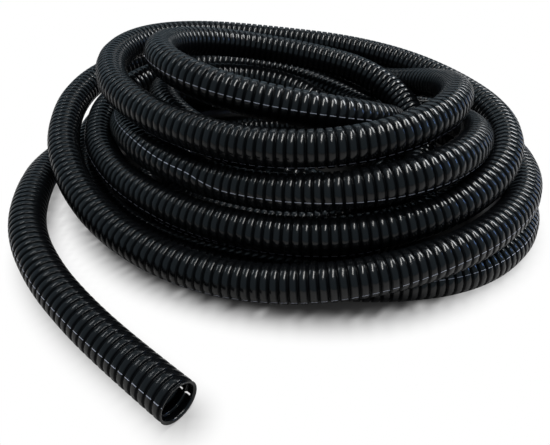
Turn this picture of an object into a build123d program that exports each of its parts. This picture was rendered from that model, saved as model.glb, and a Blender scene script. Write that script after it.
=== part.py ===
# Corrugated conduit: one length of split corrugated plastic tubing, laid down as a loose
# coil of nine uneven turns, with one open end reaching out of the coil across the floor.
from build123d import *
import os
from math import cos, dist, pi, radians, sin, tan

os.makedirs("parts", exist_ok=True)

# The tube's own section, corrugated outside and inside
CREST_D = 24.4          # over the ribs: the trade size is three quarters of an inch
RIB_HEIGHT = 1.3        # of a rib over the groove beside it
WALL = 0.8              # the blown wall is as thick in a rib as in a groove
PITCH = 5.6             # from one rib to the next
CREST_W = 3.7           # flat top of a rib
EDGE_R = 0.35           # how far a rib's two edges are broken
SIDE_LEAN = 0.25        # how far a rib's side leans over its height
END_RIBS = 12           # ribs modelled back from the open end; further on the tube is plain
BORED_RUNS = 5          # stretches of the route, straight or bent, that are bored from either end

# The cut along the tube springs open at the mouth and closes again further in
SLIT_W = 1.4            # its width in the mouth's rim
SLIT_LENGTH = 18.0      # from the rim to where its edges meet
SLIT_ANGLE = 36.0       # down from the level of the axis, on the side away from the coil's front
SPARE = 0.5             # how far a cutting solid runs past the face that it cuts

GROOVE_D = CREST_D - 2 * RIB_HEIGHT
BORE_D = GROOVE_D - 2 * WALL
RIB_BORE_D = CREST_D - 2 * WALL

# The coil on the floor
LAY = CREST_D           # the unit of the places below: one tube's width
COIL_CENTRE = (0.2 * LAY, 14.6 * LAY)
STEP_DEG = 22.5         # one route point every sixteenth of a turn
STATION_DEG = 45.0      # one chosen place every eighth of a turn
CLEARANCE = 1.9         # least space left between two turns that cross or lie side by side
ARC_SHARE = 0.45        # part of a run that the arc at its end may use
NEIGHBOURS = 7          # places on, half a step each, that may lie close, being the same bend
PUSH_SHARE = 0.8        # share of an overlap that one round takes away
ROUNDS = 60             # rounds of pushing apart and smoothing
FIRST_ROUNDS = 4        # of them, the first, which smooth strongly
FAIR_FIRST = 0.5        # share of the smoothing that is taken in those
FAIR_LATER = 0.025      # and in the others

# The free end, from its mouth to the coil: X, Y and height of the axis above a tube that
# lies on the floor, chosen by eye
TAIL = [
    (-1.95, 5.73, 0.0),
    (-3.20, 6.73, 0.0),
    (-4.60, 7.85, 0.2),
    (-5.92, 9.15, 0.4),
    (-7.02, 10.75, 0.55),
    (-7.60, 12.60, 0.6),
]

# Each turn from the left, by way of the back, the right and the front: radius about the
# coil's centre and height, chosen by eye
TURNS = [
    [(8.4, 0.3), (8.4, 0.0), (7.5, 0.0), (7.7, 0.0), (8.3, 0.0), (7.55, 0.0), (4.85, 0.0), (5.1, 0.0)],
    [(7.0, 0.5), (8.4, 1.1), (6.4, 0.2), (5.6, 0.9), (6.1, 2.1), (6.15, 2.8), (4.3, 2.1), (4.2, 2.2)],
    [(5.3, 2.25), (6.9, 1.2), (6.4, 1.0), (7.0, 0.85), (8.15, 1.1), (7.2, 1.05), (5.75, 0.3), (6.0, 0.6)],
    [(7.35, 1.6), (9.3, 2.35), (7.75, 1.65), (5.9, 2.05), (5.5, 3.4), (4.9, 3.45), (4.05, 3.2), (3.8, 3.2)],
    [(5.3, 3.4), (7.55, 3.6), (6.65, 2.85), (6.75, 2.15), (7.2, 2.4), (6.35, 1.75), (4.85, 1.2), (4.8, 1.3)],
    [(6.1, 1.5), (7.1, 1.9), (5.2, 2.1), (4.2, 1.2), (3.9, 2.1), (3.3, 3.3), (2.4, 3.7), (2.75, 4.05)],
    [(3.7, 4.3), (4.75, 3.85), (4.5, 3.1), (4.4, 2.5), (4.7, 1.3), (4.1, 1.1), (3.0, 1.9), (2.95, 2.6)],
    [(3.8, 2.9), (4.7, 2.5), (4.2, 2.0), (3.8, 1.3), (3.9, 0.4), (3.4, 0.0), (2.8, 0.0), (3.1, 0.0)],
    [(3.9, 0.0), (4.4, 0.0), (4.3, 0.0), (4.6, 0.0), (5.0, 0.0), (4.9, 0.0), (4.0, 0.0), (4.2, 0.0)],
    [(4.8, 0.0)],
]


def between(a, b, c, d, t):
    """A smooth value a part t of the way from b to c, with a and d as their neighbours."""
    return 0.5 * (2 * b + (c - a) * t + (2 * a - 5 * b + 4 * c - d) * t**2 + (3 * b - a - 3 * c + d) * t**3)


def coil_points():
    """The turns as points in space, one every STEP_DEG."""
    stations = [station for turn in TURNS for station in turn]
    last = len(stations) - 1
    steps = round(STATION_DEG / STEP_DEG)
    points = []
    for k in range(last * steps + 1):
        i = min(k // steps, last - 1)
        t = k / steps - i
        around = [stations[max(i - 1, 0)], stations[i], stations[i + 1], stations[min(i + 2, last)]]
        radius, height = (between(*values, t) for values in zip(*around))
        angle = radians(180 - k * STEP_DEG)
        x = COIL_CENTRE[0] + LAY * radius * cos(angle)
        y = COIL_CENTRE[1] + LAY * radius * sin(angle)
        points.append([x, y, LAY * max(height, 0) + CREST_D / 2])
    return points


def push_apart(points, fixed, least):
    """One round of moving turns apart where they lie closer than least."""
    count = len(points)
    places = sorted([(i, i) for i in range(count)] + [(i, i + 1) for i in range(count - 1)], key=sum)
    spots = [[(a + b) / 2 for a, b in zip(points[i], points[j])] for i, j in places]
    pushes = [[] for _ in points]
    for u, one in enumerate(spots):
        for v in range(u + NEIGHBOURS, len(spots)):
            other = spots[v]
            if abs(other[0] - one[0]) > least or abs(other[1] - one[1]) > least:
                continue
            gap = dist(one, other)
            if gap >= least:
                continue
            move = [(b - a) * (least - gap) / (2 * gap) for a, b in zip(one, other)]
            for i in set(places[u]):
                pushes[i].append([-m for m in move])
            for i in set(places[v]):
                pushes[i].append(move)
    for i in range(fixed, count):
        if pushes[i]:
            shift = [PUSH_SHARE * sum(axis) / len(pushes[i]) for axis in zip(*pushes[i])]
            points[i] = [a + b for a, b in zip(points[i], shift)]


def smooth(points, fixed, share):
    """One round of easing each point towards the curve through its neighbours."""
    eased = [list(point) for point in points]
    for i in range(fixed, len(points) - 2):
        near = zip(*points[i - 2:i + 3])
        eased[i] = [c + share * (4 * (b + d) - 6 * c - a - e) / 16 for a, b, c, d, e in near]
    points[:] = eased


def settle(points, fixed, least):
    """Lets the turns come to lie on and beside each other, as a springy tube does. The
    first points stay where they are, and none sinks into the floor."""
    for k in range(ROUNDS):
        push_apart(points, fixed, least)
        smooth(points, fixed, FAIR_FIRST if k < FIRST_ROUNDS else FAIR_LATER)
        for i in range(fixed, len(points)):
            points[i][2] = max(points[i][2], CREST_D / 2)
    return points


def route():
    """The corners of the tube's path, from the open mouth to the end inside the coil."""
    tail = [[LAY * x, LAY * y, LAY * height + CREST_D / 2] for x, y, height in TAIL]
    return settle(tail + coil_points(), len(tail), CREST_D + CLEARANCE)


def arc_radii(points):
    """The largest radius that each corner's two runs leave room for."""
    radii = []
    for a, b, c in zip(points, points[1:], points[2:]):
        turn = radians((Vector(*b) - Vector(*a)).get_angle(Vector(*c) - Vector(*b)))
        radii.append(ARC_SHARE * min(dist(a, b), dist(b, c)) / tan(turn / 2))
    return radii


corners = route()
radii = arc_radii(corners)
print("points", len(corners))
print("smallest radius", round(min(radii), 1), "in tube widths", round(min(radii) / CREST_D, 2))
print("radii", [round(radius) for radius in radii])

with BuildLine() as path:
    FilletPolyline([Vector(*corner) for corner in corners], radius=radii)
centreline = path.wire()
print("length", round(centreline.length, 1))


def along(distance):
    """The plane across the tube that far from the mouth: Z on into the tube, X level."""
    tangent = centreline.tangent_at(distance, position_mode=PositionMode.LENGTH)
    origin = centreline.position_at(distance, position_mode=PositionMode.LENGTH)
    return Plane(origin=origin, x_dir=tangent.cross(Vector(0, 0, 1)), z_dir=tangent)


# A groove, cut from outside: its sides lean, and its upper edges are broken
groove_half = (PITCH - CREST_W) / 2
with BuildPart() as groove:
    with BuildSketch(Plane.XZ):
        with BuildLine():
            Polyline(
                (CREST_D / 2 + SPARE, -groove_half - EDGE_R - SPARE),
                (CREST_D / 2, -groove_half - EDGE_R),
                (CREST_D / 2 - EDGE_R, -groove_half),
                (GROOVE_D / 2, -groove_half + SIDE_LEAN),
                (GROOVE_D / 2, groove_half - SIDE_LEAN),
                (CREST_D / 2 - EDGE_R, groove_half),
                (CREST_D / 2, groove_half + EDGE_R),
                (CREST_D / 2 + SPARE, groove_half + EDGE_R + SPARE),
                close=True,
            )
        make_face()
    revolve(axis=Axis.Z)

# The hollow inside a rib, cut from the bore
pocket_half = CREST_W / 2 - WALL
with BuildPart() as pocket:
    with BuildSketch(Plane.XZ):
        with BuildLine():
            Polyline(
                (BORE_D / 2 - SPARE, -pocket_half - SIDE_LEAN),
                (BORE_D / 2, -pocket_half - SIDE_LEAN),
                (RIB_BORE_D / 2, -pocket_half),
                (RIB_BORE_D / 2, pocket_half),
                (BORE_D / 2, pocket_half + SIDE_LEAN),
                (BORE_D / 2 - SPARE, pocket_half + SIDE_LEAN),
                close=True,
            )
        make_face()
    revolve(axis=Axis.Z)

# The sprung slit, a long thin wedge of air through one side of the wall
mouth = along(0)
slit_way = mouth.x_dir * cos(radians(SLIT_ANGLE)) + mouth.y_dir * sin(radians(SLIT_ANGLE))
with BuildPart() as slit:
    with BuildSketch(Plane(origin=mouth.origin, x_dir=mouth.z_dir, z_dir=slit_way)):
        with BuildLine():
            Polyline(
                (-SPARE, -SLIT_W / 2),
                (0, -SLIT_W / 2),
                (SLIT_LENGTH, 0),
                (0, SLIT_W / 2),
                (-SPARE, SLIT_W / 2),
                close=True,
            )
        make_face()
    extrude(amount=CREST_D / 2 + SPARE)

# The bore, from either end; the stretch between, into which nothing looks, stays solid
stretches = centreline.edges()
hollow_ribs = 1 + int((stretches[0].length - PITCH / 2) / PITCH)  # those before the first bend
far_end = Plane(origin=centreline @ 1, z_dir=-(centreline % 1))
bores = []
for start, bored in ((mouth, stretches[:BORED_RUNS]), (far_end, stretches[-BORED_RUNS:])):
    with BuildPart() as bore:
        with BuildSketch(start):
            Circle(BORE_D / 2)
        sweep(path=Wire(bored))
    bores.append(bore.part)

# The tube, cut square through the middle of a rib at the mouth
with BuildPart() as conduit:
    with BuildSketch(mouth):
        Circle(CREST_D / 2)
    sweep(path=centreline)
    plain_volume = conduit.part.volume
    add(bores, mode=Mode.SUBTRACT)
    with Locations(*[along((k + 0.5) * PITCH) for k in range(END_RIBS)]):
        add(groove.part, mode=Mode.SUBTRACT)
    with Locations(*[along(k * PITCH) for k in range(hollow_ribs)]):
        add(pocket.part, mode=Mode.SUBTRACT)
    add(slit.part, mode=Mode.SUBTRACT)

section = pi * CREST_D**2 / 4
print("plain tube", round(plain_volume), "section times length", round(section * centreline.length))
print("hollow ribs", hollow_ribs)
print("bores", [round(bore.volume / (pi * BORE_D**2 / 4), 1) for bore in bores], "long")
box = conduit.part.bounding_box()
shift = Vector(-box.center().X, -box.center().Y, -box.min.Z)
print("mouth", mouth.origin + shift, "axis out of it", -mouth.z_dir)
conduit.part.locate(Location(shift))
conduit.part.label = "conduit"
export_step(conduit.part, "parts/conduit.step")
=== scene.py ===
# %% [markdown]
# # A coil of corrugated conduit
#
# This lesson builds one length of black corrugated plastic conduit, the kind that electric
# cables are pushed into. It lies on a pale floor as a loose coil of nine uneven turns, and
# one open end reaches out of the coil towards us. On the real object everything is one thin
# moulded wall: over a thousand ribs, one after another, a fine parting line that the two
# halves of the mould leave, and a slit opposite it, through which the cables go in. So the
# whole lesson is about one long mesh, and about the light that makes its ribs readable.

# %% Load the frame that the coil has to fit
from bisect import bisect_right
from math import cos, degrees, dist, radians, sin

import bpy
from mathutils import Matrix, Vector


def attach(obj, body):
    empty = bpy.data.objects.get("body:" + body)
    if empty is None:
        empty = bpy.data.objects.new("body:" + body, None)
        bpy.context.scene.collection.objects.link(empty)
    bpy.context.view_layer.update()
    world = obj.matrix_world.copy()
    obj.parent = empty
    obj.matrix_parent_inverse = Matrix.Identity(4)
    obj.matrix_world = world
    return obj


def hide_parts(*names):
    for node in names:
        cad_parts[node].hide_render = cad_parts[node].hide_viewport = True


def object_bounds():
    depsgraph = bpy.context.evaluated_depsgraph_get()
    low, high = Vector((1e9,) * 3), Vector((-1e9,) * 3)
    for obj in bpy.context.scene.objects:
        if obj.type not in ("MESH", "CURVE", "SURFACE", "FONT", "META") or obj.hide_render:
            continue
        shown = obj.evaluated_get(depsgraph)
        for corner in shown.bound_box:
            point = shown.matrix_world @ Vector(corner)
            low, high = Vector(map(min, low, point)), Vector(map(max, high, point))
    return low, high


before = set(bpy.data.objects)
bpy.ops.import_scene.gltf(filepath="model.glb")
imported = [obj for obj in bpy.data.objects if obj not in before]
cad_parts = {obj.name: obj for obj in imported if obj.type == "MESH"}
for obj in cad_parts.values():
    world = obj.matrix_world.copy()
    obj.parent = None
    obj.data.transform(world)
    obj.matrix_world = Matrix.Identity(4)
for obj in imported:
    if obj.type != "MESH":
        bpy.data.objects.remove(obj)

cad_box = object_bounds()
print("box of the solid model", cad_box)

# %% [markdown]
# ## The sizes of the tube
#
# Conduit is sold by trade size, and this is the three-quarter-inch one. All other sizes of
# its section follow from what such tube measures. They are written once, in metres, because
# Blender's own unit is the metre.

# %% Sizes of the tube
MM = 0.001
CREST_D = 24.4 * MM      # over the ribs
RIB_HEIGHT = 1.3 * MM    # of a rib over the groove beside it
WALL = 0.8 * MM          # the wall is as thick in a rib as in a groove
PITCH = 5.6 * MM         # from one rib to the next
CREST_W = 3.7 * MM       # flat top of a rib

# %% [markdown]
# ## Where the tube lies
#
# A tube this long is best described by its route, a line through the middle of its section.
# The free end has six listed points: to the right, to the back, and the
# height of the axis above a tube that lies on the floor. The coil has one place for every
# eighth of a turn, a radius about the coil's centre and a height. In the list
# each turn has one line for the left and the back and one for the right and the front. All
# are written in widths of the tube, because that is how one judges them: this turn lies one
# tube further out, that one rests on two others.

# %% The places that the tube passes through
LAY = CREST_D            # one tube's width, the unit of the places below
COIL_CENTRE = (0.2 * LAY, 14.6 * LAY)
TAIL = [
    (-1.95, 5.73, 0.0),
    (-3.20, 6.73, 0.0),
    (-4.60, 7.85, 0.2),
    (-5.92, 9.15, 0.4),
    (-7.02, 10.75, 0.55),
    (-7.60, 12.60, 0.6),
]
TURNS = [
    [(8.4, 0.3), (8.4, 0.0), (7.5, 0.0), (7.7, 0.0),
     (8.3, 0.0), (7.55, 0.0), (4.85, 0.0), (5.1, 0.0)],
    [(7.0, 0.5), (8.4, 1.1), (6.4, 0.2), (5.6, 0.9),
     (6.1, 2.1), (6.15, 2.8), (4.3, 2.1), (4.2, 2.2)],
    [(5.3, 2.25), (6.9, 1.2), (6.4, 1.0), (7.0, 0.85),
     (8.15, 1.1), (7.2, 1.05), (5.75, 0.3), (6.0, 0.6)],
    [(7.35, 1.6), (9.3, 2.35), (7.75, 1.65), (5.9, 2.05),
     (5.5, 3.4), (4.9, 3.45), (4.05, 3.2), (3.8, 3.2)],
    [(5.3, 3.4), (7.55, 3.6), (6.65, 2.85), (6.75, 2.15),
     (7.2, 2.4), (6.35, 1.75), (4.85, 1.2), (4.8, 1.3)],
    [(6.1, 1.5), (7.1, 1.9), (5.2, 2.1), (4.2, 1.2),
     (3.9, 2.1), (3.3, 3.3), (2.4, 3.7), (2.75, 4.05)],
    [(3.7, 4.3), (4.75, 3.85), (4.5, 3.1), (4.4, 2.5),
     (4.7, 1.3), (4.1, 1.1), (3.0, 1.9), (2.95, 2.6)],
    [(3.8, 2.9), (4.7, 2.5), (4.2, 2.0), (3.8, 1.3),
     (3.9, 0.4), (3.4, 0.0), (2.8, 0.0), (3.1, 0.0)],
    [(3.9, 0.0), (4.4, 0.0), (4.3, 0.0), (4.6, 0.0),
     (5.0, 0.0), (4.9, 0.0), (4.0, 0.0), (4.2, 0.0)],
    [(4.8, 0.0)],
]
print("places chosen", len(TAIL) + sum(len(turn) for turn in TURNS))

# %% [markdown]
# ## From chosen places to a round coil
#
# Eight places to a turn are too few: the coil would look like bent wire. So one more goes
# between each two, not on the straight way but on a smooth curve that also minds the places
# before and after. One formula does this for the radii and for the heights, and the sixteen
# points to a turn that come out are enough for a round line.

# %% The coil's points
STEP_DEG = 22.5          # one route point every sixteenth of a turn
STATION_DEG = 45.0       # one chosen place every eighth of a turn


def between(a, b, c, d, t):
    """A smooth value a part t of the way from b to c, with a and d as their neighbours."""
    first = c - a
    second = 2 * a - 5 * b + 4 * c - d
    third = 3 * b - a - 3 * c + d
    return 0.5 * (2 * b + first * t + second * t**2 + third * t**3)


def coil_points():
    """The turns as points in space, one every STEP_DEG."""
    stations = [station for turn in TURNS for station in turn]
    last = len(stations) - 1
    steps = round(STATION_DEG / STEP_DEG)
    points = []
    for k in range(last * steps + 1):
        i = min(k // steps, last - 1)
        t = k / steps - i
        around = [stations[max(i - 1, 0)], stations[i], stations[i + 1], stations[min(i + 2, last)]]
        radius, height = (between(*values, t) for values in zip(*around))
        angle = radians(180 - k * STEP_DEG)
        x = COIL_CENTRE[0] + LAY * radius * cos(angle)
        y = COIL_CENTRE[1] + LAY * radius * sin(angle)
        points.append([x, y, LAY * max(height, 0) + CREST_D / 2])
    return points


print("points in the coil", len(coil_points()))

# %% [markdown]
# ## Letting the turns settle
#
# Places given one by one never fit exactly: some turns would run through each other. A physics
# simulation could mend that, but it is slow and hard to steer. Here a few lines do the same
# job. In every round, two stretches that are too close push each other apart a little, and
# then each point eases towards the smooth curve through its neighbours, as the springy tube
# would. The easing takes back a part of what the pushing gives, so after sixty rounds a few
# places are left where two turns overlap by a millimetre or two.

# %% Push turns apart
CLEARANCE = 1.9 * MM     # space asked for between two turns that cross or lie side by side
NEIGHBOURS = 7           # places on, half a step each, that may lie close, being the same bend
PUSH_SHARE = 0.8         # share of an overlap that one round takes away


def push_apart(points, fixed, least):
    """One round of moving turns apart where they lie closer than least."""
    count = len(points)
    corners = [(i, i) for i in range(count)]
    run_middles = [(i, i + 1) for i in range(count - 1)]
    places = sorted(corners + run_middles, key=sum)
    spots = [[(a + b) / 2 for a, b in zip(points[i], points[j])] for i, j in places]
    pushes = [[] for _ in points]
    for u, one in enumerate(spots):
        for v in range(u + NEIGHBOURS, len(spots)):
            other = spots[v]
            if abs(other[0] - one[0]) > least or abs(other[1] - one[1]) > least:
                continue
            gap = dist(one, other)
            if gap >= least:
                continue
            move = [(b - a) * (least - gap) / (2 * gap) for a, b in zip(one, other)]
            for i in set(places[u]):
                pushes[i].append([-m for m in move])
            for i in set(places[v]):
                pushes[i].append(move)
    for i in range(fixed, count):
        if pushes[i]:
            shift = [PUSH_SHARE * sum(axis) / len(pushes[i]) for axis in zip(*pushes[i])]
            points[i] = [a + b for a, b in zip(points[i], shift)]


print("space asked for between the axes of two turns", CREST_D + CLEARANCE)

# %% [markdown]
# ## The whole route
#
# The first few rounds smooth strongly and take out what the given places got wrong. The later ones
# hardly smooth, so that the coil keeps its character. The free end stays where it was put,
# and no point sinks into the floor.

# %% Settle the route
ROUNDS = 60              # rounds of pushing apart and smoothing
FIRST_ROUNDS = 4         # of them, the first, which smooth strongly
FAIR_FIRST = 0.5         # share of the smoothing that is taken in those
FAIR_LATER = 0.025       # and in the others


def smooth(points, fixed, share):
    """One round of easing each point towards the curve through its neighbours."""
    eased = [list(point) for point in points]
    for i in range(fixed, len(points) - 2):
        near = zip(*points[i - 2:i + 3])
        eased[i] = [c + share * (4 * (b + d) - 6 * c - a - e) / 16 for a, b, c, d, e in near]
    points[:] = eased


def settled_route():
    """All points of the route, with the turns lying on and beside each other."""
    points = [[LAY * x, LAY * y, LAY * height + CREST_D / 2] for x, y, height in TAIL]
    fixed = len(points)
    points += coil_points()
    for k in range(ROUNDS):
        push_apart(points, fixed, CREST_D + CLEARANCE)
        smooth(points, fixed, FAIR_FIRST if k < FIRST_ROUNDS else FAIR_LATER)
        for i in range(fixed, len(points)):
            points[i][2] = max(points[i][2], CREST_D / 2)
    return points


route = settled_route()
print("points in the route", len(route))

# %% [markdown]
# ## One smooth line
#
# The route's points become the control points of a NURBS curve. Blender evaluates it for
# us: a curve object without any bevel turns into a chain of vertices, and these are places
# on the line itself. The order of three has to be set after the points are added, because
# a new spline is reset to straight runs. A curve could carry the tube as a bevel, but then
# it couldn't have ribs, so we only take the line from it.

# %% The line through the middle of the tube
LINE_STEPS = 24          # places on the line for each of the curve's runs


def read_line(points):
    """Places along the smooth line that these control points give."""
    curve = bpy.data.curves.new("route", "CURVE")
    curve.dimensions = "3D"
    curve.resolution_u = LINE_STEPS
    spline = curve.splines.new("NURBS")
    spline.points.add(len(points) - 1)
    for spot, point in zip(spline.points, points):
        spot.co = (*point, 1)
    spline.order_u = 3
    spline.use_endpoint_u = True
    holder = bpy.data.objects.new("route", curve)
    chain = bpy.data.meshes.new_from_object(holder)
    line = [vertex.co.copy() for vertex in chain.vertices]
    bpy.data.objects.remove(holder)
    bpy.data.meshes.remove(chain)
    bpy.data.curves.remove(curve)
    return line


line = read_line(route)
print("places on the line", len(line))

# %% [markdown]
# ## Into the frame
#
# The route is written from the point on the floor that is right below the camera, because
# that is where the photograph was read from. The solid model has its origin in the middle
# of the whole thing. So the line moves until its middle is where the middle of the solid
# model's box is, and the camera will move as far. How far each place is from the mouth,
# measured along the line, is worked out once, since all that follows asks for it.

# %% Move the line, and measure along it


def middle(values):
    """Half way between the lowest and the highest value."""
    return (min(values) + max(values)) / 2


to_origin = Vector((
    middle([cad_box[0][0], cad_box[1][0]]) - middle([p.x for p in line]),
    middle([cad_box[0][1], cad_box[1][1]]) - middle([p.y for p in line]),
    0,
))
line = [p + to_origin for p in line]
travelled = [0.0]
for one, other in zip(line, line[1:]):
    travelled.append(travelled[-1] + (other - one).length)
print("length", round(travelled[-1], 3), "moved by", to_origin)

# %% [markdown]
# ## Rings across the line
#
# The tube's surface is a long row of rings, each of them square to the line. A ring needs
# two directions across the line: one level, one upward. The line is never steep, so the
# level one is simply the cross product of its own direction and the vertical.
# Angles round the tube are counted from the level direction upwards. Seen from the mouth,
# nought degrees is the side that faces away from us.

# %% A ring's place and directions
FEEL = 2.0 * MM          # how far before and behind a place its direction is felt


def span_at(distance):
    """The number of the line's short span that holds that distance."""
    return min(max(bisect_right(travelled, distance) - 1, 0), len(travelled) - 2)


def place_at(distance):
    """The place on the line that far from the mouth. Past its ends the line runs straight."""
    k = span_at(distance)
    share = (distance - travelled[k]) / (travelled[k + 1] - travelled[k])
    return line[k].lerp(line[k + 1], share)


def directions_at(distance):
    """Along the tube, level across it and upward across it, at that distance."""
    ahead = (place_at(distance + FEEL) - place_at(distance - FEEL)).normalized()
    level = ahead.cross(Vector((0, 0, 1))).normalized()
    return ahead, level, level.cross(ahead)


print("directions at the mouth", directions_at(0.0))

# %% [markdown]
# ## The shape of one rib
#
# A rib is a flat-topped band with soft shoulders, and the groove beside it is narrow. The
# profile below is a list of rings from the middle of one rib to the middle of the next:
# how far along, how far from the middle of the tube, and how far the surface leans there.
# The lean is what makes a few rings look round. Blender can be told which way the surface
# faces at each vertex, and it shades smoothly from one to the next, so a shoulder needs
# only one ring. The coil has four rings for each rib. The stretch in front, which is seen
# from close by, has eight.

# %% Profiles of a rib
CREST_R = CREST_D / 2
GROOVE_R = CREST_R - RIB_HEIGHT
GROOVE_HALF = 0.45 * MM  # half the flat bottom of a groove
SHOULDER = 0.45 * MM     # how far inside a rib's edge its top begins to fall


def whole_rib(half):
    """Rings from one rib's middle to the next one's, from those up to the groove."""
    return half + [(PITCH - offset, radius, -lean) for offset, radius, lean in reversed(half)]


PLAIN_RIB = whole_rib([
    (CREST_W / 2, CREST_R, 21),
    (PITCH / 2 - GROOVE_HALF, GROOVE_R, 55),
])
FINE_RIB = whole_rib([
    (CREST_W / 2 - SHOULDER, CREST_R, 12),
    (CREST_W / 2, CREST_R - 0.16 * MM, 38),
    (CREST_W / 2 + 0.25 * MM, CREST_R - 0.75 * MM, 66),
    (PITCH / 2 - GROOVE_HALF, GROOVE_R, 20),
])
print("rings in a plain rib", len(PLAIN_RIB), "in a fine one", len(FINE_RIB))

# %% [markdown]
# ## Where the slit and the parting line run
#
# The tube twists a little as it is coiled, so its parting line wanders round it. At the
# mouth the slit is on the side away from us, a little below the middle. The parting line is
# exactly opposite, on the upper left, where it shows as a pale tick on every rib. The list
# says where the slit is, in degrees, at chosen places: turns of the coil, counted from where
# the free end joins it. On the front of the coil nought degrees is the inner side.

# %% The twist
SLIT_AT = [
    (-0.4, -36),
    (0.0, -22),
    (0.6, -40),
    (1.6, 18),
    (1.78, -9),
    (1.84, -36),
    (1.92, -52),
    (2.0, -59),
    (2.4, -40),
    (2.62, -15),
    (2.73, 24),
    (3.2, 30),
    (3.6, 22),
    (3.8, 45),
    (4.3, 48),
    (4.7, 50),
    (5.0, -15),
    (5.7, -15),
    (6.5, 10),
    (9.2, -20),
]


def turns_before(distance):
    """How many turns of the coil lie before that place; the free end counts below nought."""
    passed = span_at(distance) / (len(line) - 1) * (len(route) - 1)
    return (passed - len(TAIL)) * STEP_DEG / 360


def slit_angle(distance):
    """The slit's angle at that distance. It eases from one chosen place to the next."""
    turn = turns_before(distance)
    for (t0, a0), (t1, a1) in zip(SLIT_AT, SLIT_AT[1:]):
        if turn <= t1:
            share = (turn - t0) / (t1 - t0)
            return a0 + (a1 - a0) * share * share * (3 - 2 * share)
    return SLIT_AT[-1][1]


print("turns", turns_before(travelled[-1]), "slit at the mouth", slit_angle(0.0))

# %% [markdown]
# ## The slit springs open
#
# A cut tube springs open a little at its end. Here its edges nearly touch at the rim and in
# the grooves, which are stiff. In the first ribs behind the rim they gape by more than a
# millimetre, and further in they close again. One sees this from inside, as two bright spots
# through which the floor shines in.

# %% How far the slit gapes
SLIT_W = 1.4 * MM        # between its edges in the first ribs
SLIT_LENGTH = 18.0 * MM  # from the rim to where its edges meet
GROOVE_SHARE = 0.2       # how far it gapes at the rim and in a groove, as a share of that


def half_gap(distance, radius):
    """Half the slit's width at that place, as an angle in degrees."""
    if distance >= SLIT_LENGTH:
        return 0.0
    in_rib = distance > CREST_W / 2 and radius > GROOVE_R
    open_share = 1 if in_rib else GROOVE_SHARE
    opened = min(1, 2 * (1 - distance / SLIT_LENGTH))
    return degrees(SLIT_W / 2 * opened * open_share / CREST_R)


print("half the slit in the second rib, in degrees", half_gap(PITCH, CREST_R))

# %% [markdown]
# ## A surface from a chain of rings
#
# The whole tube is one chain. It starts deep inside the bore, comes back to the mouth, goes
# over the rim, runs along the outside to the other end and there turns back into the bore.
# Each vertex gets three things: its place, the way the surface faces, and where it is on the
# wrap that the material reads. The wrap's first number counts ribs, with whole numbers in
# their middles. Its second goes from nought to one round the tube, from the slit to the
# slit, so the parting line is at a half. The inside gets neither the painted shade of the
# grooves nor the parting line's painted highlight, and its wrap says so: it stays on a rib's
# middle, and its second number stops before a half.

# %% Vertices of a ring
CUT_AWAY = 1.35 * MM     # how far behind the first rib's middle the tube was cut off
INSIDE_LEAN = 80         # degrees: what leans more is the cut edge or the inside
INSIDE_WRAP = 0.4        # how far the inside's wrap goes

ribs = round((travelled[-1] + CUT_AWAY) / PITCH)
rib_step = (travelled[-1] + CUT_AWAY) / ribs
vertices = []
facings = []
wraps = []


def add_ring(distance, radius, lean, columns, closed):
    """Adds one ring's vertices and gives back their numbers. An open ring begins and ends at
    the slit, so it has one more vertex."""
    centre = place_at(distance)
    ahead, level, upward = directions_at(distance)
    start = slit_angle(distance)
    gap = 0.0 if closed else half_gap(distance, radius)
    count = columns if closed else columns + 1
    numbers = []
    for k in range(count):
        turned = gap + (360 - 2 * gap) * k / columns
        angle = radians(start + turned)
        outward = level * cos(angle) + upward * sin(angle)
        numbers.append(len(vertices))
        vertices.append(centre + outward * radius)
        facings.append(outward * cos(radians(lean)) + ahead * sin(radians(lean)))
        if abs(lean) > INSIDE_LEAN:
            wraps.append((0.0, INSIDE_WRAP * turned / 360))
        else:
            wraps.append(((distance + CUT_AWAY) / rib_step, turned / 360))
    return numbers


print("ribs", ribs, "one every", rib_step)

# %% [markdown]
# ## Joining the rings
#
# Two neighbouring rings with as many vertices are joined by a band of four-sided faces. In
# one place a ring with many vertices meets one with few. There two fingers walk round the
# two rings, the one that is behind takes the next step, and each step makes one triangle.

# %% Faces between two rings
faces = []


def add_band(one, other, closed):
    """Joins two rings with as many vertices by a band of faces."""
    count = len(one)
    for k in range(count if closed else count - 1):
        after = (k + 1) % count
        faces.append((one[k], other[k], other[after], one[after]))


def add_step(one, other):
    """Joins an open ring of many vertices to a closed ring of fewer, by triangles."""
    steps_one, steps_other = len(one) - 1, len(other)
    i, j = 0, 0
    while i < steps_one or j < steps_other:
        one_is_behind = i < steps_one and (i + 1) / steps_one <= (j + 1) / steps_other
        if j == steps_other or one_is_behind:
            faces.append((one[i], other[j % steps_other], one[i + 1]))
            i += 1
        else:
            faces.append((one[i], other[j], other[(j + 1) % steps_other]))
            j += 1


print("faces so far", len(faces))

# %% [markdown]
# ## The rings of the whole tube
#
# What one sees from close by gets the fine profile and 28 corners round the tube. The coil
# gets the plain profile and 16. That keeps the mesh below 200,000 triangles. The inside of a
# moulded wall is its outside, one wall's thickness further in, so the same list of rings
# serves for it, backwards. It is only made as far as one can look into either end.

# %% Lists of rings
RIM = 0.15 * MM          # rounding of the cut edge


def outside(first, last, profile):
    """Rings along the outside, from one rib to another."""
    return [(k * rib_step + offset - CUT_AWAY, radius, lean)
            for k in range(first, last) for offset, radius, lean in profile]


def inside(rings):
    """The same rings one wall's thickness further in, facing the other way, in reverse."""
    return [(distance - WALL * sin(radians(lean)), radius - WALL * cos(radians(lean)), lean + 180)
            for distance, radius, lean in reversed(rings)]


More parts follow.
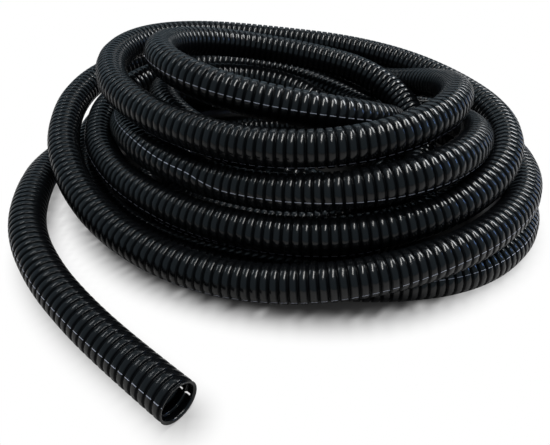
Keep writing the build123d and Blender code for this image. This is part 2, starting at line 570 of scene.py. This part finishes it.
# Over the cut edge at the mouth, from its inner side to the outside
rim = [
    (0.0, CREST_R - 0.9 * WALL, -105),
    (0.0, CREST_R - 0.5 * WALL, -90),
    (0.1 * RIM, CREST_R - 0.2 * WALL, -60),
    (RIM, CREST_R - 0.02 * WALL, -10),
    (CREST_W / 2 - CUT_AWAY, CREST_R - 0.2 * WALL, 38),
]
print("rings over the rim", len(rim))

# %% The stretch in front
FINE_COLUMNS = 28        # corners round the tube
FINE_RIBS = 44           # ribs that have the fine profile
BORE_RIBS = 12           # ribs whose inside is modelled, from either end
CUT_RINGS = 2            # of the first rib's rings, those that the cut took away

to_crest = len(FINE_RIB) // 2
front = outside(0, FINE_RIBS, FINE_RIB)[CUT_RINGS:-to_crest]
first_bore = inside(outside(0, BORE_RIBS, FINE_RIB)[CUT_RINGS:])
rings = [add_ring(*ring, FINE_COLUMNS, False) for ring in first_bore + rim + front]
for one, other in zip(rings, rings[1:]):
    add_band(one, other, False)
print("fine rings", len(rings), "faces", len(faces))

# %% The coil
PLAIN_COLUMNS = 16       # corners round the tube

from_crest = len(PLAIN_RIB) // 2
back = outside(FINE_RIBS - 1, ribs, PLAIN_RIB)[from_crest:]
last_bore = inside(outside(ribs - BORE_RIBS, ribs, PLAIN_RIB))
plain_rings = [add_ring(*ring, PLAIN_COLUMNS, True) for ring in back + last_bore]
for one, other in zip(plain_rings, plain_rings[1:]):
    add_band(one, other, True)
add_step(rings[-1], plain_rings[0])
print("plain rings", len(plain_rings), "vertices", len(vertices), "faces", len(faces))

# %% [markdown]
# ## The slit's own walls
#
# Where the slit gapes, one sees the thickness of the wall. The outer and the inner rings of
# the first ribs lie in the same order, so their first and last vertices can be joined. At
# the rim one many-sided face on either side of the slit closes what is left.

# %% Close the wall along the slit
last_inner = len(first_bore) - 1
first_outer = len(first_bore) + len(rim)
gaping_rings = sum(ring[0] < SLIT_LENGTH for ring in front)
for k in range(gaping_rings):
    outer_one, outer_next = rings[first_outer + k], rings[first_outer + k + 1]
    inner_one, inner_next = rings[last_inner - k], rings[last_inner - k - 1]
    faces.append((outer_one[0], inner_one[0], inner_next[0], outer_next[0]))
    faces.append((outer_one[-1], outer_next[-1], inner_next[-1], inner_one[-1]))
over_rim = rings[last_inner:first_outer + 1]
faces.append(tuple(ring[0] for ring in over_rim))
faces.append(tuple(ring[-1] for ring in reversed(over_rim)))
print("faces with the slit's walls", len(faces))

# %% [markdown]
# ## From lists to a mesh
#
# Blender takes the lists as they are. The wrap goes into a UV layer. Where a closed ring
# comes back to its first vertex, the wrap would run back round the whole tube within one
# face, so there its low values count on past one. The facings become the mesh's own normals.

# %% Make the conduit
skin = bpy.data.meshes.new("conduit_tube")
skin.from_pydata(vertices, [], faces)
wrap = skin.uv_layers.new(name="wrap")
for face in skin.polygons:
    corners = [wraps[skin.loops[i].vertex_index] for i in face.loop_indices]
    passes_end = max(v for u, v in corners) - min(v for u, v in corners) > 0.5
    for i, (u, v) in zip(face.loop_indices, corners):
        wrap.data[i].uv = (u, v + 1 if passes_end and v < 0.5 else v)
skin.normals_split_custom_set_from_vertices(facings)
conduit = bpy.data.objects.new("conduit_tube", skin)
bpy.context.collection.objects.link(conduit)
skin.calc_loop_triangles()
print("triangles", len(skin.loop_triangles))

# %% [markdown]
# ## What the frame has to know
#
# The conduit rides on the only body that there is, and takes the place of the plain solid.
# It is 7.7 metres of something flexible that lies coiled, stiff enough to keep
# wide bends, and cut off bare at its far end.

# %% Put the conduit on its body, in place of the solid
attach(conduit, "root")
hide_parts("conduit")

# %% [markdown]
# ## Helpers for materials
#
# A material here is a small network of nodes. Three helpers keep the cells below short: one
# starts a material, one adds a node with its values, and one calculates.

# %% Helpers for a material


def start_material(name):
    """A material with nodes, its node tree and its main shader."""
    material = bpy.data.materials.new(name)
    material.use_nodes = True
    return material, material.node_tree, material.node_tree.nodes["Principled BSDF"]


def add_node(tree, kind, **settings):
    """A node with its settings and the values of its inputs."""
    node = tree.nodes.new(kind)
    for key, value in settings.items():
        if hasattr(node, key):
            setattr(node, key, value)
        else:
            node.inputs[key.replace("_", " ")].default_value = value
    return node


def add_math(tree, operation, first, second=None):
    """The result of a calculation with one or two sockets or numbers."""
    node = tree.nodes.new("ShaderNodeMath")
    node.operation = operation
    for socket, value in zip(node.inputs, (first, second)):
        if value is None:
            continue
        if isinstance(value, (int, float)):
            socket.default_value = value
        else:
            tree.links.new(value, socket)
    return node.outputs[0]


plastic, tree, shader = start_material("black_plastic")
print("nodes in a new material", [node.name for node in tree.nodes])

# %% [markdown]
# ## Black moulded plastic
#
# The plastic is almost black, and what we see of it is nearly all reflection: a broad soft
# gleam on every rib. A picture wrapped round the tube could show that, but it would stay the
# same in any light, so the shader does it. First it has to know where on a rib it is, and
# the wrap tells: the fraction of its first number is nought in a rib's middle and a half in
# a groove's, so how far it is from a half says how far the groove is. The second number says
# in the same way how far the parting line is.

# %% Where on the tube a place is
uv = add_node(tree, "ShaderNodeUVMap", uv_map="wrap")
parts = tree.nodes.new("ShaderNodeSeparateXYZ")
tree.links.new(uv.outputs[0], parts.inputs[0])
along_rib = add_math(tree, "FRACT", parts.outputs[0])
from_groove = add_math(tree, "ABSOLUTE", add_math(tree, "SUBTRACT", along_rib, 0.5))
from_seam = add_math(tree, "ABSOLUTE", add_math(tree, "SUBTRACT", parts.outputs[1], 0.5))
print("nodes so far", len(tree.nodes))

# %% [markdown]
# ## Gloss
#
# Polyethylene is waxy, so its roughness lies between gloss and satin, and it changes a
# little from place to place. In the grooves the ribs on both sides take most of the
# reflection away, and that shade is painted: the gloss is turned down there. A fine grain
# breaks the gleams up. One more helper stretches a range of values to another, for what
# changes from place to place.

# %% Roughness, gloss and grain
USUAL_NOISE = (0.3, 0.7)        # the range in which most of a noise's values lie
ROUGHNESS = (0.15, 0.22)
GROOVE_EDGE = (0.17, 0.28)      # where a groove ends and a rib begins, as shares of a rib
GLOSS = (0.10, 0.5)             # in a groove and on a rib


def add_range(tree, source, before, after, interpolation="LINEAR"):
    """A socket's values, stretched from the range before to the range after."""
    node = add_node(
        tree,
        "ShaderNodeMapRange",
        interpolation_type=interpolation,
        From_Min=before[0],
        From_Max=before[1],
        To_Min=after[0],
        To_Max=after[1],
    )
    tree.links.new(source, node.inputs["Value"])
    return node.outputs[0]


shader.inputs["IOR"].default_value = 1.5
place = tree.nodes.new("ShaderNodeTexCoord")
blotches = add_node(tree, "ShaderNodeTexNoise", Scale=60.0, Detail=4.0)
tree.links.new(place.outputs["Object"], blotches.inputs["Vector"])
roughness = add_range(tree, blotches.outputs["Fac"], USUAL_NOISE, ROUGHNESS)
tree.links.new(roughness, shader.inputs["Roughness"])
# painted shade in the grooves: the gloss is turned down where the ribs on both sides would block
# the reflection
gloss = add_range(tree, from_groove, GROOVE_EDGE, GLOSS)
tree.links.new(gloss, shader.inputs["Specular IOR Level"])

grain = add_node(tree, "ShaderNodeTexNoise", Scale=900.0, Detail=3.0)
tree.links.new(place.outputs["Object"], grain.inputs["Vector"])
bump = add_node(tree, "ShaderNodeBump", Strength=0.04, Distance=0.2 * MM)
tree.links.new(grain.outputs["Fac"], bump.inputs["Height"])
tree.links.new(bump.outputs[0], shader.inputs["Normal"])
print("nodes so far", len(tree.nodes))

# %% [markdown]
# ## The parting line and its painted highlight
#
# Where the two halves of the mould met, a ridge as thin as a hair runs along the tube. It
# only shows where it crosses a rib's top, as a pale tick that catches the light. It is too
# thin to model, so the light it catches is painted: a painted highlight, a pale stripe in the
# colour, exactly opposite the slit, and only on the ribs' tops.

# %% Colour, with the parting line's painted highlight
BLACK = (0.003, 0.0035, 0.0042, 1)
SEAM_GLINT_COLOUR = (0.48, 0.52, 0.64, 1)
SEAM_HALF = 0.0030       # half the parting line's width, as a share of the way round
MIX_FIRST, MIX_SECOND, MIX_RESULT = 6, 7, 2     # the colour sockets of a mixing node

# painted highlight: a pale stripe where the parting line's ridge crosses a rib's top, in place of
# the light that the ridge catches
near_seam = add_math(tree, "LESS_THAN", from_seam, SEAM_HALF)
on_crest = add_math(tree, "GREATER_THAN", from_groove, 0.5 - CREST_W / PITCH / 2)
seam_glint = add_math(tree, "MULTIPLY", near_seam, on_crest)
colour = add_node(tree, "ShaderNodeMix", data_type="RGBA")
colour.inputs[MIX_FIRST].default_value = BLACK
colour.inputs[MIX_SECOND].default_value = SEAM_GLINT_COLOUR
tree.links.new(seam_glint, colour.inputs[0])
tree.links.new(colour.outputs[MIX_RESULT], shader.inputs["Base Color"])
skin.materials.append(plastic)
print("nodes in the plastic", len(tree.nodes))

# %% [markdown]
# ## A pale floor
#
# The floor is one large pale plane. Close to the tube it takes the tube's soft shadow. One
# tube's width away it has to have melted into the white background, so on the way there, for
# the camera alone, its material turns into plain white light. Between the turns so little
# light falls in that the floor looks black, which we help with a dark colour. Both need to
# know how far a place on the floor is from the tube. Nodes can't measure that, so the floor
# is a grid that stores it at every corner. Under the coil the number is less than nought,
# and says how far in from the coil's outline the corner is.

# %% How far a place is from the tube


def encloses(outline, x, y):
    """Whether a closed outline goes round that place. A way out to the right then crosses
    the outline an odd number of times."""
    crossings = 0
    for one, other in zip(outline, outline[1:] + outline[:1]):
        if (one.y > y) == (other.y > y):
            continue
        if x < one.x + (y - one.y) / (other.y - one.y) * (other.x - one.x):
            crossings += 1
    return crossings % 2 == 1


def way_to(spots, x, y):
    """How far that place on the floor is from the nearest of the spots, seen from above."""
    return min((spot.x - x)**2 + (spot.y - y)**2 for spot in spots)**0.5


coil_middle = (COIL_CENTRE[0] + to_origin.x, COIL_CENTRE[1] + to_origin.y)
print("from the coil's middle to the mouth", way_to([line[0]], *coil_middle))

# %% [markdown]
# ## The coil's outline
#
# The outline is made of the line's own places. In each direction from the middle one place
# of every turn is looked at, and the one that lies furthest out belongs to the outline.
# Every fourth place of the line is enough for this and for measuring.

# %% Outline and floor
EVERY = 4                # every fourth place on the line is looked at
FLOOR_SIZE = 12.0
CELL = 6.0 * MM          # of the floor's grid near the coil
CELLS = 42               # of those cells, to every side of the middle

line_step = len(line) // (len(route) - 1)
turn_step = round(360 / STEP_DEG) * line_step
coil_start = len(TAIL) * line_step
outline = []
for k in range(0, turn_step, EVERY):
    same_way_out = line[coil_start + k::turn_step]
    outline.append(max(same_way_out, key=lambda spot: way_to([spot], *coil_middle)))
nearby = line[::EVERY]

ticks = [k * CELL for k in range(-CELLS, CELLS + 1)]
ticks = [-FLOOR_SIZE / 2] + ticks + [FLOOR_SIZE / 2]
corners = [(x, y, 0.0) for y in ticks for x in ticks]
row = len(ticks)
cells = [(k, k + 1, k + row + 1, k + row) for k in range(row * (row - 1)) if k % row < row - 1]
print("places on the outline", len(outline), "corners in the floor", len(corners))

# %% A floor that knows how far it is from the tube
floor_mesh = bpy.data.meshes.new("floor")
floor_mesh.from_pydata(corners, [], cells)
stored = floor_mesh.attributes.new("way_off", "FLOAT", "POINT")
for spot, (x, y, _) in zip(stored.data, corners):
    spot.value = -way_to(outline, x, y) if encloses(outline, x, y) else way_to(nearby, x, y)
floor = bpy.data.objects.new("floor", floor_mesh)
bpy.context.collection.objects.link(floor)
print("corners under the coil", sum(spot.value < 0 for spot in stored.data))

# %% [markdown]
# ## The floor's material
#
# Two ranges of the stored number do the work. Under the coil it picks a colour between
# black and pale grey. Further out it mixes the floor's own shader with white light, slowly
# at both ends, so that no edge shows. Rays other than the camera's never find that light,
# so the tube isn't lit by a floor that shines.

# %% Colour and fading of the floor
DARK_RANGE = (-36.0 * MM, -22.0 * MM)   # all black further in, pale further out
DARK_COLOUR = (0.01, 0.45)              # at the two ends of that
FADE_RANGE = (-8.0 * MM, 25.0 * MM)     # all floor further in, all white further out

pale, tree, shader = start_material("pale_floor")
shader.inputs["Roughness"].default_value = 0.9
shader.inputs["Specular IOR Level"].default_value = 0.2
way_off = add_node(tree, "ShaderNodeAttribute", attribute_name="way_off").outputs["Fac"]
shade = add_range(tree, way_off, DARK_RANGE, DARK_COLOUR)
tree.links.new(shade, shader.inputs["Base Color"])

fade = add_range(tree, way_off, FADE_RANGE, (0.0, 1.0), "SMOOTHSTEP")
rays = tree.nodes.new("ShaderNodeLightPath")
whiteness = add_math(tree, "MULTIPLY", fade, rays.outputs["Is Camera Ray"])
white = add_node(tree, "ShaderNodeEmission", Strength=1.0)
mixed = tree.nodes.new("ShaderNodeMixShader")
tree.links.new(whiteness, mixed.inputs[0])
tree.links.new(shader.outputs[0], mixed.inputs[1])
tree.links.new(white.outputs[0], mixed.inputs[2])
tree.links.new(mixed.outputs[0], tree.nodes["Material Output"].inputs["Surface"])
floor_mesh.materials.append(pale)
print("the floor is all white from", FADE_RANGE[1], "metres off the tube")

# %% [markdown]
# ## What surrounds the coil
#
# Cycles can show different surroundings to different kinds of rays. The camera sees plain
# white. A mirrored ray finds a dim bluish room, and this is what makes the black ribs read
# as dark blue-grey. All other rays find a dim white room, which fills the shadows.

# %% The world
WHITE = (1.0, 1.0, 1.0)
BLUISH = (0.66, 0.86, 1.0)

world = bpy.data.worlds.new("studio")
bpy.context.scene.world = world
world.use_nodes = True
room_tree = world.node_tree
room_rays = room_tree.nodes.new("ShaderNodeLightPath")


def add_sky(colour, strength):
    """One colour all round."""
    sky = add_node(room_tree, "ShaderNodeBackground", Strength=strength)
    sky.inputs["Color"].default_value = (*colour, 1)
    return sky.outputs[0]


def swap_for(ray, usual, special):
    """The usual light, but the special one for rays of that kind."""
    mixed = room_tree.nodes.new("ShaderNodeMixShader")
    room_tree.links.new(room_rays.outputs[ray], mixed.inputs[0])
    room_tree.links.new(usual, mixed.inputs[1])
    room_tree.links.new(special, mixed.inputs[2])
    return mixed.outputs[0]


room = swap_for("Is Glossy Ray", add_sky(WHITE, 0.20), add_sky(BLUISH, 0.28))
room = swap_for("Is Camera Ray", room, add_sky(WHITE, 1.0))
room_tree.links.new(room, room_tree.nodes["World Output"].inputs["Surface"])
print("nodes in the world", len(room_tree.nodes))

# %% [markdown]
# ## Light
#
# A black glossy thing is lit by what it mirrors. Each lamp that the ribs mirror is a narrow
# strip, so that every rib carries a short thin gleam across its top. One strip hangs over
# the coil, one is on either side of it, and a faint one far behind draws the upper edges.
# A blue one gives the glints on the right. The large soft box overhead only fills: it
# isn't mirrored.

# %% Lamps
SUNNY = (1.0, 0.99, 0.96)
PALE_DAY = (0.98, 0.99, 1.0)
COOL_DAY = (0.95, 0.98, 1.0)
BLUE = (0.25, 0.45, 1.0)


def add_lamp(name, location, size, power, tint, mirrored=True):
    """A soft lamp that looks at the coil. One that isn't mirrored leaves no gleam."""
    data = bpy.data.lights.new(name, "AREA")
    data.shape = "RECTANGLE"
    data.size, data.size_y = size
    data.energy = power
    data.color = tint
    lamp = bpy.data.objects.new(name, data)
    lamp.location = location
    lamp.rotation_euler = (-Vector(location)).to_track_quat("-Z", "Y").to_euler()
    lamp.visible_glossy = mirrored
    bpy.context.collection.objects.link(lamp)


# Place and size in metres, then power in watts
add_lamp("ceiling", (0.0, 0.0, 1.6), (1.2, 1.2), 6.0, WHITE, mirrored=False)
add_lamp("top_lamp", (0.22, -0.06, 1.20), (1.00, 0.15), 7.5, SUNNY)
add_lamp("left_lamp", (-0.70, 0.35, 1.05), (0.60, 0.08), 1.3, COOL_DAY)
add_lamp("right_lamp", (0.80, 0.50, 0.85), (0.60, 0.28), 6.5, PALE_DAY)
add_lamp("back_window", (0.10, 0.95, 0.90), (0.60, 0.10), 0.4, COOL_DAY)
add_lamp("blue_lamp", (1.30, 0.25, 0.45), (0.12, 0.40), 0.9, BLUE)
print("lamps", [lamp.name for lamp in bpy.data.lights])

# %% [markdown]
# ## The camera
#
# The photograph was taken from close by and from above: the front turns look much larger
# than the back ones. So the camera is near, with a wide lens, and looks down at 36 degrees.

# %% The camera
CAMERA_HEIGHT = 9.2 * LAY
LOOKS_DOWN = 36.0        # degrees below the level
LENS = 31.4              # millimetres, for a picture as wide as the film
FILM_WIDTH = 36.0        # millimetres

camera_data = bpy.data.cameras.new("camera")
camera_data.lens = LENS
camera_data.sensor_width = FILM_WIDTH
camera = bpy.data.objects.new("camera", camera_data)
camera.location = Vector((0, 0, CAMERA_HEIGHT)) + to_origin
camera.rotation_euler = (radians(90 - LOOKS_DOWN), 0, 0)
bpy.context.collection.objects.link(camera)
bpy.context.scene.camera = camera
bpy.context.scene.view_settings.view_transform = "Standard"
print("camera at", camera.location)
